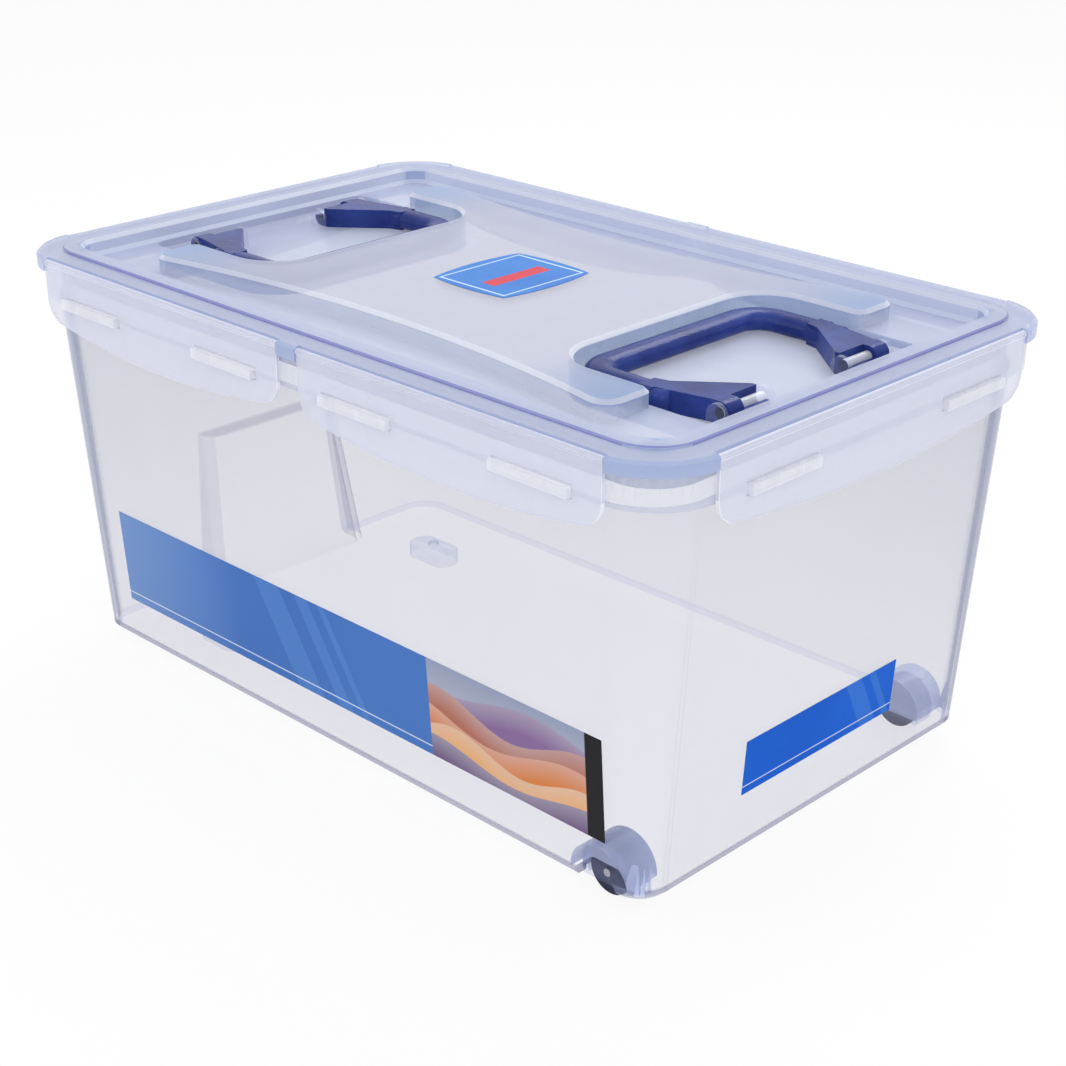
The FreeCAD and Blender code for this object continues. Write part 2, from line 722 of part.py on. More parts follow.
# A latch hangs from its hinge bead: bead axis along X through the body's origin, outer face towards -Y
def make_latch(name, width, spacing, turn, x, y):
    body = new_body(name)
    half = f"({width}) / 2"
    corner = "latch_corner"
    low = "(latch_drop - latch_bow)"
    chord = f"({half} - {corner})"
    sweep = f"(({chord} ^ 2 + latch_bow ^ 2 + 2 * latch_bow * {corner}) / (2 * latch_bow))"
    join_x = f"({chord} * {sweep} / ({sweep} - {corner}))"
    join_y = f"({sweep} - latch_drop - {sweep} * ({sweep} - latch_bow - {corner}) / ({sweep} - {corner}))"
    outline = [
        (f"-{half}", "0"),
        (f"-{half}", f"-{low} + {corner}", corner, 1),
        (f"-{join_x}", join_y, sweep, 1),
        (join_x, join_y, corner, 1),
        (half, f"-{low} + {corner}"),
        (half, "0"),
    ]
    sketch = new_sketch(body, f"{name}_outline", "XZ_Plane", "-latch_thickness / 2", [outline])
    pad(body, f"{name}_flap", sketch, "latch_thickness")
    sketch = new_sketch(body, f"{name}_bead_outline", "YZ_Plane", f"-{half}", [], [("0", "0", "hinge_bead")])
    pad(body, f"{name}_bead", sketch, width)
    top = f"{collar_base} + nub_height + slot_gap - {hinge_height}"
    base = f"{collar_base} - slot_gap - {hinge_height}"
    reach = "(nub_length / 2 + slot_gap)"
    slots = []
    for step in (-1, 1):
        spot = f"{step} * ({spacing}) / 2"
        slots.append(box(f"{spot} - {reach}", f"{spot} + {reach}", base, top))
    sketch = new_sketch(body, f"{name}_slot_outline", "XZ_Plane", "-2 * latch_thickness", slots)
    pocket(body, f"{name}_slots", sketch, "4 * latch_thickness", True)
    body.Placement.Rotation = FreeCAD.Rotation(FreeCAD.Vector(0, 0, 1), turn)
    bind(body, "Placement.Base.x", x)
    bind(body, "Placement.Base.y", y)
    bind(body, "Placement.Base.z", hinge_height)
    return body


# Handle: a bail lying flat, its grip towards the middle of the lid. A rounded bar is swept along the grip and
# the arms, and each arm widens into a flat paddle that hooks round its pivot pin.
def make_handle(name, turn):
    body = new_body(name)
    low = f"({well_floor} + handle_lift)"
    barrel = "handle_thickness / 2"
    tip = f"(pivot_reach + {barrel})"
    arm = "(handle_width / 2 - arm_width / 2)"
    grip = "(grip_reach + arm_width / 2)"
    route = [
        ("paddle_root", arm),
        (f"{grip} + handle_corner", arm, "handle_corner", 1),
        (grip, f"{arm} - handle_corner"),
        (grip, f"handle_corner - {arm}", "handle_corner", 1),
        (f"{grip} + handle_corner", f"-{arm}"),
        ("paddle_root", f"-{arm}"),
    ]
    path = new_sketch(body, f"{name}_route", "XY_Plane", pivot_height, [], path=route)
    section = bevelled("arm_width", "handle_thickness", "grip_bevel", arm, pivot_height)
    profile = new_sketch(body, f"{name}_section", "YZ_Plane", "paddle_root", [section])
    bar = body.newObject("PartDesign::AdditivePipe", f"{name}_bar")
    bar.Profile = profile
    bar.Spine = (path, [])
    doc.recompute()

    paddles = []
    for side in (-1, 1):
        corners = [
            ("paddle_start", f"{side} * ({arm} - arm_width / 2 + grip_bevel)"),
            ("paddle_root", f"{side} * ({arm} - arm_width / 2)"),
            ("hook_flat", f"{side} * hook_inner"),
            (tip, f"{side} * hook_inner"),
            (tip, f"{side} * hook_outer"),
            ("hook_flat", f"{side} * hook_outer"),
            ("paddle_start", f"{side} * ({arm} + arm_width / 2 - grip_bevel / 2)"),
        ]
        paddles.append(corners[::side])
    sketch = new_sketch(body, f"{name}_paddle_outline", "XY_Plane", low, paddles)
    pad(body, f"{name}_paddles", sketch, "handle_thickness")
    end = value(tip)
    fillet(body, f"{name}_hooks", f"{barrel} - handle_lift / 2",
           lambda edge: abs(edge.BoundBox.XMin - end) < 1e-4 and edge.BoundBox.ZLength < 1e-4)
    sketch = new_sketch(body, f"{name}_bore_outline", "XZ_Plane", "-handle_width / 2", [],
                        [("pivot_reach", pivot_height, "pin_radius + pin_fit")])
    pocket(body, f"{name}_bore", sketch, "handle_width", True)
    windows = []
    for side in (-1, 1):
        ends = sorted((f"{side} * (hook_inner - lug_gap)", f"{side} * (hook_inner + hook_window)"), key=value)
        windows.append(box("pivot_reach - pin_radius - pin_fit", f"{tip} + lug_gap", *ends))
    sketch = new_sketch(body, f"{name}_window_outline", "XY_Plane", pivot_height, windows)
    pocket(body, f"{name}_windows", sketch, "handle_thickness", True)
    body.Placement.Rotation = FreeCAD.Rotation(FreeCAD.Vector(0, 0, 1), turn)
    return body


# Wheel, its axle and its holder, made at the front wheel and moved across for the rear one
def make_wheel(name, side):
    body = new_body(name)
    sketch = new_sketch(body, f"{name}_outline", "XZ_Plane", "-wheel_width / 2", [],
                        [("0", "0", "wheel_radius"), ("0", "0", "axle_radius + axle_fit")])
    pad(body, f"{name}_tyre", sketch, "wheel_width")
    place_at_wheel(body, side)
    return body


def make_axle(name, side):
    body = new_body(name)
    sketch = new_sketch(body, f"{name}_outline", "XZ_Plane", f"-{holder_length} / 2", [],
                        [("0", "0", "axle_radius")])
    pad(body, f"{name}_rod", sketch, holder_length)
    place_at_wheel(body, side)
    return body


def make_holder(name, side):
    body = new_body(name)
    outer = "(wheel_radius + holder_gap + holder_wall)"
    inner = "(wheel_radius + holder_gap)"
    low = "ground_clearance - holder_drop - wheel_radius"
    sketch = new_sketch(body, f"{name}_outline", "XZ_Plane", f"-{holder_length} / 2",
                        [arch("0", outer, "0", low)])
    pad(body, f"{name}_shell", sketch, holder_length)
    gap = "(wheel_width + 2 * wheel_gap)"
    sketch = new_sketch(body, f"{name}_space_outline", "XZ_Plane", f"-{gap} / 2",
                        [arch("0", inner, "0", f"{low} - holder_drop")])
    pocket(body, f"{name}_space", sketch, gap, True)
    sketch = new_sketch(body, f"{name}_bore_outline", "XZ_Plane", f"-{holder_length}", [],
                        [("0", "0", "axle_radius")])
    pocket(body, f"{name}_bore", sketch, f"2 * {holder_length}", True)
    place_at_wheel(body, side)
    return body


def place_at_wheel(body, side):
    bind(body, "Placement.Base.x", "wheel_reach")
    bind(body, "Placement.Base.y", f"{side} * wheel_side")
    bind(body, "Placement.Base.z", "wheel_radius")


# Foot: a pad under the left end with a stem pushed up through the floor of the tub
def make_foot(name, side):
    body = new_body(name)
    sole = rounded("foot_length", "foot_width", "foot_corner")
    sketch = new_sketch(body, f"{name}_outline", "XY_Plane", "0", [sole])
    pad(body, f"{name}_pad", sketch, "ground_clearance")
    sketch = new_sketch(body, f"{name}_stem_outline", "XY_Plane", "ground_clearance", [],
                        [("0", "0", "foot_stem")])
    pad(body, f"{name}_stem", sketch, "tub_floor")
    bind(body, "Placement.Base.x", "-foot_reach")
    bind(body, "Placement.Base.y", f"{side} * foot_side")
    return body


# Labels are thin plates on the drafted walls, leaning with them
def make_wall_label(name, axis, low, high, sizes):
    plate = doc.addObject("Part::Box", name)
    plate.Label = name
    for prop, text in zip(("Length", "Width"), sizes):
        bind(plate, prop, text)
    bind(plate, "Height", f"({high} - {low}) / cos({draft})")
    plate.Placement.Rotation = FreeCAD.Rotation(axis, 1)
    bind(plate, "Placement.Rotation.Angle", draft)
    return plate


def make_labels():
    front = make_wall_label("front_label", FreeCAD.Vector(1, 0, 0), "front_label_low", "front_label_high",
                            ("front_label_end - front_label_start", "label_thickness"))
    wall = wall_at("tub_width", "front_label_low")
    bind(front, "Placement.Base.x", "front_label_start")
    bind(front, "Placement.Base.y", f"-{wall} - label_thickness * cos({draft})")
    bind(front, "Placement.Base.z", f"ground_clearance + front_label_low - label_thickness * sin({draft})")
    end = make_wall_label("end_label", FreeCAD.Vector(0, 1, 0), "end_label_low", "end_label_high",
                          ("label_thickness", "end_label_end - end_label_start"))
    bind(end, "Placement.Base.x", wall_at("tub_length", "end_label_low"))
    bind(end, "Placement.Base.y", "end_label_start")
    bind(end, "Placement.Base.z", "ground_clearance + end_label_low")
    return [front, end]


def make_sticker():
    body = new_body("lid_sticker")
    x = "sticker_length / 2"
    y = "sticker_width / 2"
    outline = [
        (f"-{x}", f"-{y}", "sticker_bow", 1),
        (x, f"-{y}", "sticker_bow", 1),
        (x, y, "sticker_bow", 1),
        (f"-{x}", y, "sticker_bow", 1),
    ]
    sketch = new_sketch(body, "sticker_outline", "XY_Plane", ridge_top, [outline])
    pad(body, "sticker_plate", sketch, "label_thickness")
    return body


pieces = [make_tub(), make_lid(), make_seal()]
front = "-lid_width / 2 + hinge_inset"
right = "lid_length / 2 - hinge_inset"
for name, turn, x, y in (
    ("latch_front_left", 0, "-latch_centre", front),
    ("latch_front_right", 0, "latch_centre", front),
    ("latch_rear_left", 180, "-latch_centre", f"-({front})"),
    ("latch_rear_right", 180, "latch_centre", f"-({front})"),
):
    pieces.append(make_latch(name, "latch_width", "nub_spacing", turn, x, y))
pieces.append(make_latch("latch_right_end", "end_latch_width", "end_nub_spacing", 90, right, "0"))
pieces.append(make_latch("latch_left_end", "end_latch_width", "end_nub_spacing", -90, f"-({right})", "0"))
pieces.append(make_handle("handle_right", 0))
pieces.append(make_handle("handle_left", 180))
for place, side in (("front", -1), ("rear", 1)):
    pieces.append(make_wheel(f"wheel_{place}", side))
    pieces.append(make_axle(f"axle_{place}", side))
    pieces.append(make_holder(f"wheel_holder_{place}", side))
    pieces.append(make_foot(f"foot_{place}", side))
pieces.extend(make_labels())
pieces.append(make_sticker())
doc.recompute()

# Nothing is written unless every object of the document is sound
for item in doc.Objects:
    if {"Invalid", "Error"} & set(item.State):
        raise RuntimeError(f"{item.Label} failed: {item.State}")
os.makedirs("parts", exist_ok=True)
for piece in pieces:
    shape = piece.Shape
    if shape.isNull() or not shape.isValid():
        raise RuntimeError(f"{piece.Label} has no valid shape")
    shape.exportStep(f"parts/{piece.Label}.step")
    middle = shape.CenterOfGravity
    print(piece.Label, len(shape.Solids), "solid", round(shape.Volume / 1000, 2), "cm3",
          "centred at", [round(v, 2) for v in middle])
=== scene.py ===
import math

import bmesh
import bpy
import numpy as np
from mathutils import Matrix, Vector


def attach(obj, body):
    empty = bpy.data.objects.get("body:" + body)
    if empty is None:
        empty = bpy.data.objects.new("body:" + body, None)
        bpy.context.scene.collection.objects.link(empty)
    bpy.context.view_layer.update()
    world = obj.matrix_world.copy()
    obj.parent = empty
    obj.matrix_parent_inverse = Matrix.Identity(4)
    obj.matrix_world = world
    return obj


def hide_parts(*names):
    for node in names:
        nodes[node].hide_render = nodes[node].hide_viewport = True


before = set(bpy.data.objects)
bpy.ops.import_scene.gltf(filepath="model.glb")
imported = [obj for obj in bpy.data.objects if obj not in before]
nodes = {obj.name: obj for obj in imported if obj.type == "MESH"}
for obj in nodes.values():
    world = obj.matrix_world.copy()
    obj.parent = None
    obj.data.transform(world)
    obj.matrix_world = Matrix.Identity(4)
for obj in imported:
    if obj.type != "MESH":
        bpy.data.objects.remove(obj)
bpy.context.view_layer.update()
scene = bpy.context.scene
print("frame loaded:", len(nodes), "nodes")


def plug(tree, val, sock):  # a link where the value comes from a node, otherwise a fixed value
    if isinstance(val, bpy.types.NodeSocket):
        tree.links.new(val, sock)
    else:
        sock.default_value = val


def addNode(tree, kind, settings=None, **inputs):  # sockets by name with _ for a space, or by number as i0, i1
    node = tree.nodes.new(kind)
    for key, val in (settings or {}).items():
        setattr(node, key, val)
    for key, val in inputs.items():
        byNumber = key[0] == "i" and key[1:].isdigit()
        plug(tree, val, node.inputs[int(key[1:])] if byNumber else node.inputs[key.replace("_", " ")])
    return node


def maths(tree, operation, a, b=0.0, clamp=False):
    settings = {"operation": operation, "use_clamp": clamp}
    return addNode(tree, "ShaderNodeMath", settings, i0=a, i1=b).outputs[0]


def times(tree, a, b):
    return maths(tree, "MULTIPLY", a, b)


def remap(tree, val, fromLow, fromHigh, toLow, toHigh):  # straight line through two points, held flat outside
    node = addNode(tree, "ShaderNodeMapRange", None, Value=val)
    sockets = ("From Min", "From Max", "To Min", "To Max")
    for key, number in zip(sockets, (fromLow, fromHigh, toLow, toHigh)):
        node.inputs[key].default_value = number
    return node.outputs[0]


def past(tree, val, low, soft):  # nought below low, one above it, with a fade of soft to each side
    return remap(tree, val, low - soft, low + soft, 0.0, 1.0)


def upTo(tree, val, high, soft):  # one below high, nought above it
    return remap(tree, val, high - soft, high + soft, 1.0, 0.0)


def band(tree, val, low, high, soft):  # one between low and high, fading to nought on both sides
    return times(tree, past(tree, val, low, soft), upTo(tree, val, high, soft))


def patch(tree, x, y, alongX, alongY, soft):  # one inside a rectangle
    return times(tree, band(tree, x, *alongX, soft), band(tree, y, *alongY, soft))


def mixColour(tree, factor, a, b):
    node = addNode(tree, "ShaderNodeMix", {"data_type": "RGBA"})
    for sock, val in ((node.inputs[0], factor), (node.inputs[6], a), (node.inputs[7], b)):
        plug(tree, val, sock)
    return node.outputs[2]


def rgba(sRgb):  # a colour as read off a screen, 0 to 255, made linear
    c = np.array(sRgb, float) / 255.0
    lin = np.where(c <= 0.04045, c / 12.92, ((c + 0.055) / 1.055) ** 2.4)
    return (float(lin[0]), float(lin[1]), float(lin[2]), 1.0)


def freshMaterial(name):
    material = bpy.data.materials.new(name)
    material.use_nodes = True
    tree = material.node_tree
    tree.nodes.clear()
    out = addNode(tree, "ShaderNodeOutputMaterial")
    skin = addNode(tree, "ShaderNodeBsdfPrincipled")
    place = addNode(tree, "ShaderNodeTexCoord").outputs["Object"]
    return material, tree, out, skin, place


def noise(tree, place, scale, detail=2.0):
    return addNode(tree, "ShaderNodeTexNoise", None, Vector=place, Scale=scale, Detail=detail).outputs["Fac"]


def addBump(tree, skin, height, strength, distance):
    bump = addNode(tree, "ShaderNodeBump", None, Strength=strength, Distance=distance, Height=height)
    tree.links.new(bump.outputs[0], skin.inputs["Normal"])


def axes(tree, place):
    split = addNode(tree, "ShaderNodeSeparateXYZ", None, Vector=place)
    return split.outputs[0], split.outputs[1], split.outputs[2]


clearCommon = {
    "ior": 1.49, "cloudRange": (0.3, 0.7), "cloudSwing": (0.94, 1.06), "rippleDepth": 0.001,
    "outlineRange": (0.40, 0.95), "footFade": 0.0006,
}
lidZones = {  # the raised middle and the horns beside the wells, in metres from the centre of the lid
    "halfLength": 0.205, "halfWidth": 0.122, "edge": 0.0005, "height": (0.2270, 0.2280),
    "hornFrom": 0.125, "hornFade": 0.030, "hornSide": 0.074, "hornSideFade": 0.004,
}


def raisedAndHorn(tree, place, zone):  # two masks: the raised middle, and its four horns
    x, y, z = axes(tree, place)
    away, side = maths(tree, "ABSOLUTE", x), maths(tree, "ABSOLUTE", y)
    inLength = upTo(tree, away, zone["halfLength"], zone["edge"])
    inWidth = upTo(tree, side, zone["halfWidth"], zone["edge"])
    raised = times(tree, times(tree, inLength, inWidth), remap(tree, z, *zone["height"], 0.0, 1.0))
    outward = past(tree, away, zone["hornFrom"], zone["hornFade"])
    sideways = past(tree, side, zone["hornSide"], zone["hornSideFade"])
    return raised, times(tree, times(tree, outward, sideways), raised)


def clearPlastic(name, look):  # see-through face on, more body at a glancing angle, with moulding ripple
    common = clearCommon
    material, tree, out, skin, place = freshMaterial(name)
    skin.inputs["Base Color"].default_value = rgba(look["body"])
    skin.inputs["IOR"].default_value = common["ior"]
    cloud = noise(tree, place, look["cloudScale"])
    tree.links.new(remap(tree, cloud, *common["cloudRange"], *look["roughness"]), skin.inputs["Roughness"])
    addBump(tree, skin, noise(tree, place, look["rippleScale"]), look["ripple"], common["rippleDepth"])
    facing = addNode(tree, "ShaderNodeLayerWeight", None, Blend=0.5).outputs["Facing"]
    rise = maths(tree, "POWER", facing, look["rise"])
    opacity = remap(tree, rise, 0.0, 1.0, look["faceOn"], look["glancing"])
    opacity = times(tree, opacity, remap(tree, cloud, *common["cloudRange"], *common["cloudSwing"]))
    if "outline" in look:  # a wall seen along its thickness
        rim = remap(tree, facing, *common["outlineRange"], 0.0, look["outline"])
        opacity = maths(tree, "ADD", opacity, rim, True)
    outer = maths(tree, "SUBTRACT", 1.0, addNode(tree, "ShaderNodeNewGeometry").outputs["Backfacing"])
    if "inside" in look:  # only this share of the body shows on the inner side of the skin
        opacity = times(tree, opacity, remap(tree, outer, 0.0, 1.0, look["inside"], 1.0))
    if "lowBand" in look:  # the thick foot of the wall, on its outer side
        foot = upTo(tree, axes(tree, place)[2], look["lowBand"], common["footFade"])
        foot = times(tree, foot, outer)
        colour = mixColour(tree, foot, rgba(look["body"]), rgba(look["lowBody"]))
        tree.links.new(colour, skin.inputs["Base Color"])
        opacity = maths(tree, "ADD", opacity, times(tree, foot, look["lowAdd"]), True)
    if "climb" in look:  # more body with height, between two heights
        low, high, most = look["climb"]
        more = remap(tree, axes(tree, place)[2], low, high, 0.0, most)
        opacity = maths(tree, "ADD", opacity, more, True)
    if "sink" in look:  # less body with depth, between two heights
        low, high, least = look["sink"]
        opacity = times(tree, opacity, remap(tree, axes(tree, place)[2], low, high, least, 1.0))
    if "plateau" in look:  # the raised middle is greyer than the channel round it, and its horns take a painted blue tint for the navy handle seen through them
        raised, horn = raisedAndHorn(tree, place, lidZones)
        colour = mixColour(tree, raised, rgba(look["body"]), rgba(look["plateau"]))
        tree.links.new(mixColour(tree, horn, colour, rgba(look["horn"])), skin.inputs["Base Color"])
        opacity = maths(tree, "ADD", opacity, times(tree, horn, look["frost"]), True)
    through = addNode(tree, "ShaderNodeBsdfTransparent", None, Color=rgba(look["tint"]))
    mix = addNode(tree, "ShaderNodeMixShader", None, Fac=opacity, i1=through.outputs[0], i2=skin.outputs[0])
    tree.links.new(mix.outputs[0], out.inputs["Surface"])
    return material


# how even each kind of moulding is: clouds in the roughness, and a ripple in the skin
wallSkin = {"roughness": (0.10, 0.18), "cloudScale": 14.0, "ripple": 0.06, "rippleScale": 55.0}
lipSkin = {"roughness": (0.14, 0.22), "cloudScale": 20.0, "ripple": 0.05, "rippleScale": 70.0}
bandSkin = {"roughness": (0.14, 0.24), "cloudScale": 20.0, "ripple": 0.06, "rippleScale": 70.0}
smallSkin = {"roughness": (0.14, 0.24), "cloudScale": 60.0, "ripple": 0.05, "rippleScale": 160.0}
noFoot = {"lowAdd": 0.0}  # the inner faces have no foot line

tubLook = {
    "body": (168, 172, 192), "tint": (252, 252, 253), "faceOn": 0.048, "glancing": 0.75, "rise": 4.0,
    "climb": (0.04, 0.20, 0.075), "lowBand": 0.0150, "lowBody": (120, 124, 162), "lowAdd": 0.55, **wallSkin,
}
tubClear = clearPlastic("tubClear", tubLook)
tubInnerClear = clearPlastic("tubInnerClear", {**tubLook, **noFoot})

cornerLook = {**tubLook, "body": (160, 166, 192), "outline": 0.85}
cornerClear = clearPlastic("cornerClear", cornerLook)
cornerInnerClear = clearPlastic("cornerInnerClear", {**cornerLook, **noFoot})

tubFloorLook = {
    "body": (190, 195, 216), "tint": (253, 253, 254), "faceOn": 0.020, "glancing": 0.45, "rise": 6.0, **wallSkin,
}
tubFloorClear = clearPlastic("tubFloorClear", tubFloorLook)

alcoveLook = {
    "body": (150, 153, 176), "tint": (250, 250, 253), "faceOn": 0.11, "glancing": 0.75, "rise": 3.0,
    **wallSkin, "roughness": (0.12, 0.22),
}
alcoveClear = clearPlastic("alcoveClear", alcoveLook)

edgeLook = {
    "body": (122, 127, 168), "tint": (240, 241, 250), "faceOn": 0.55, "glancing": 0.80, "rise": 1.5,
    "inside": 0.08, **lipSkin, "roughness": (0.12, 0.22),
}
edgeViolet = clearPlastic("edgeViolet", edgeLook)

housingLook = {
    "body": (196, 206, 236), "tint": (228, 234, 253), "faceOn": 0.70, "glancing": 0.75, "rise": 2.0,
    "roughness": (0.16, 0.26), "cloudScale": 60.0, "ripple": 0.06, "rippleScale": 120.0,
}
housingClear = clearPlastic("housingClear", housingLook)

collarLook = {
    "body": (222, 226, 239), "tint": (251, 252, 254), "faceOn": 0.22, "glancing": 0.75, "rise": 2.5, **bandSkin,
}
collarClear = clearPlastic("collarClear", collarLook)

nubLook = {
    "body": (249, 250, 255), "tint": (252, 252, 254), "faceOn": 0.48, "glancing": 0.9, "rise": 2.0,
    "roughness": (0.22, 0.34), "cloudScale": 60.0, "ripple": 0.06, "rippleScale": 240.0,
}
nubFrosted = clearPlastic("nubFrosted", nubLook)

# the horn colour is a painted blue tint standing for the navy handle seen through the frosted horns
lidLook = {
    "body": (192, 200, 224), "tint": (251, 252, 254), "faceOn": 0.40, "glancing": 0.70, "rise": 3.0,
    "plateau": (190, 193, 212), "horn": (144, 166, 206), "frost": 0.20,
    "roughness": (0.16, 0.26), "cloudScale": 18.0, "ripple": 0.08, "rippleScale": 70.0,
}
lidClear = clearPlastic("lidClear", lidLook)

# the bluish body, made more solid towards the top by the sink, is a painted tint for the navy handle seen through
# the well walls
wellLook = {
    "body": (186, 202, 232), "tint": (240, 245, 254), "faceOn": 0.56, "glancing": 0.85, "rise": 2.0,
    "sink": (0.2160, 0.2260, 0.40),
    "roughness": (0.22, 0.34), "cloudScale": 30.0, "ripple": 0.08, "rippleScale": 90.0,
}
wellFrosted = clearPlastic("wellFrosted", wellLook)

ridgeLook = {
    "body": (128, 131, 196), "tint": (236, 238, 252), "faceOn": 0.52, "glancing": 0.85, "rise": 1.5,
    **lipSkin, "roughness": (0.16, 0.26),
}
ridgeViolet = clearPlastic("ridgeViolet", ridgeLook)

# painted light: the inner ring wall is made paler and more solid to stand in for light it lacks from the front
ringWallPaintedLightLook = {
    "body": (224, 232, 250), "tint": (250, 251, 254), "faceOn": 0.46, "glancing": 0.80, "rise": 2.5, **bandSkin,
}
ringWallPaintedLight = clearPlastic("ringWallPaintedLight", ringWallPaintedLightLook)

brimLook = {
    "body": (180, 194, 228), "tint": (244, 247, 254), "faceOn": 0.50, "glancing": 0.85, "rise": 1.5, **lipSkin,
}
brimClear = clearPlastic("brimClear", brimLook)

# painted highlight: a pale, more solid skin for the white line that light draws along the slanting edge round the
# raised middle
creaseHighlightLook = {
    "body": (236, 240, 252), "tint": (250, 251, 254), "faceOn": 0.42, "glancing": 0.85, "rise": 1.5, **lipSkin,
}
creaseHighlight = clearPlastic("creaseHighlight", creaseHighlightLook)

lugLook = {
    "body": (226, 232, 248), "tint": (250, 251, 254), "faceOn": 0.08, "glancing": 0.60, "rise": 3.0,
    "inside": 0.20, **smallSkin,
}
lugClear = clearPlastic("lugClear", lugLook)

pinLook = {
    "body": (232, 237, 249), "tint": (250, 251, 254), "faceOn": 0.52, "glancing": 0.85, "rise": 2.0,
    "inside": 0.0, **smallSkin,
}
pinClear = clearPlastic("pinClear", pinLook)

latchLook = {
    "body": (232, 234, 247), "tint": (251, 252, 254), "faceOn": 0.36, "glancing": 0.88, "rise": 2.0,
    "roughness": (0.30, 0.42), "cloudScale": 30.0, "ripple": 0.10, "rippleScale": 240.0,
}
latchFrosted = clearPlastic("latchFrosted", latchLook)

# painted highlight: a near-white, more solid skin for the bright lines light draws on the cut edges of each flap
flapEdgeHighlightLook = {
    "body": (250, 251, 255), "tint": (252, 252, 254), "faceOn": 0.70, "glancing": 0.9, "rise": 1.5,
    "roughness": (0.22, 0.34), "cloudScale": 30.0, "ripple": 0.05, "rippleScale": 240.0,
}
flapEdgeHighlight = clearPlastic("flapEdgeHighlight", flapEdgeHighlightLook)

holderLook = {
    "body": (190, 199, 230), "tint": (248, 249, 254), "faceOn": 0.07, "glancing": 0.5, "rise": 3.0, **smallSkin,
}
holderClear = clearPlastic("holderClear", holderLook)

sealLook = {
    "body": (232, 235, 244), "tint": (252, 252, 254), "faceOn": 0.16, "glancing": 0.7, "rise": 2.0,
    "roughness": (0.38, 0.5), "cloudScale": 50.0, "ripple": 0.06, "rippleScale": 300.0,
}
sealSilicone = clearPlastic("sealSilicone", sealLook)


def grainedPlastic(name, look):  # solid colour with a fine moulded grain, a little paler where it is worn
    material, tree, out, skin, place = freshMaterial(name)
    grain = addNode(tree, "ShaderNodeTexVoronoi", None, Vector=place, Scale=look["grainScale"])
    wear = noise(tree, place, look["wearScale"], look["wearDetail"])
    worn = remap(tree, wear, *look["wearRange"], 0.0, 1.0)
    tree.links.new(mixColour(tree, worn, rgba(look["deep"]), rgba(look["pale"])), skin.inputs["Base Color"])
    tree.links.new(remap(tree, wear, *look["roughRange"], *look["roughness"]), skin.inputs["Roughness"])
    skin.inputs["Specular IOR Level"].default_value = look["shine"]
    addBump(tree, skin, grain.outputs["Distance"], look["grain"], look["grainDepth"])
    tree.links.new(skin.outputs[0], out.inputs["Surface"])
    return material


wearCommon = {"wearDetail": 4.0, "wearRange": (0.35, 0.7), "roughRange": (0.3, 0.7), "grainDepth": 0.0005}
navyLook = {
    "deep": (31, 45, 110), "pale": (49, 68, 142), "roughness": (0.18, 0.26), "grain": 0.20, "shine": 0.13,
    "grainScale": 700.0, "wearScale": 40.0, **wearCommon,
}
handleNavy = grainedPlastic("handleNavy", navyLook)

wheelLook = {
    "deep": (28, 33, 60), "pale": (42, 49, 84), "roughness": (0.34, 0.46), "grain": 0.25, "shine": 0.18,
    "grainScale": 1400.0, "wearScale": 120.0, **wearCommon,
}
wheelDark = grainedPlastic("wheelDark", wheelLook)

wireLook = {
    "dark": (150, 152, 156), "pale": (206, 208, 212), "stretch": (900.0, 40.0, 900.0), "detail": 3.0,
    "roughRange": (0.3, 0.7), "roughness": (0.22, 0.4),
}


def drawnWire(name, look):  # plain steel with fine scratches along the wire
    material, tree, out, skin, place = freshMaterial(name)
    skin.inputs["Metallic"].default_value = 1.0
    stretched = addNode(tree, "ShaderNodeMapping", None, Vector=place, Scale=look["stretch"]).outputs[0]
    lines = noise(tree, stretched, 1.0, look["detail"])
    tree.links.new(mixColour(tree, lines, rgba(look["dark"]), rgba(look["pale"])), skin.inputs["Base Color"])
    tree.links.new(remap(tree, lines, *look["roughRange"], *look["roughness"]), skin.inputs["Roughness"])
    tree.links.new(skin.outputs[0], out.inputs["Surface"])
    return material


axleSteel = drawnWire("axleSteel", wireLook)

film = {
    "toothScale": 900.0, "toothRange": (0.3, 0.7), "roughness": (0.30, 0.40), "tooth": 0.05, "toothDepth": 0.0002,
    "driftRange": (0.35, 0.65), "edge": 0.0002, "hairEdge": 0.0001, "barEdge": 0.0003,
}


def printedFilm(tree, out, skin, place, colour, gloss):  # gloss film with a faint paper tooth
    tree.links.new(colour, skin.inputs["Base Color"])
    skin.inputs["Specular IOR Level"].default_value = gloss
    tooth = noise(tree, place, film["toothScale"])
    tree.links.new(remap(tree, tooth, *film["toothRange"], *film["roughness"]), skin.inputs["Roughness"])
    addBump(tree, skin, tooth, film["tooth"], film["toothDepth"])
    tree.links.new(skin.outputs[0], out.inputs["Surface"])


def driftingBlue(tree, place, look):  # the field drifts between two blues
    drift = remap(tree, noise(tree, place, look["driftScale"]), *film["driftRange"], 0.0, 1.0)
    return mixColour(tree, drift, rgba(look["deepBlue"]), rgba(look["blue"]))


def slantBands(tree, along, z, colour, look):  # bands where the way along plus lean times the height is in range
    slant = maths(tree, "ADD", along, times(tree, z, look["lean"]))
    for low, wide in look["bands"]:
        stripe = times(tree, band(tree, slant, low, low + wide, film["edge"]), look["bandShare"])
        colour = mixColour(tree, stripe, colour, rgba(look["slant"]))
    return colour


def paleRule(tree, z, colour, look):  # one thin level line
    line = times(tree, band(tree, z, *look["ruleAt"], film["hairEdge"]), look["ruleShare"])
    return mixColour(tree, line, colour, rgba(look["rule"]))


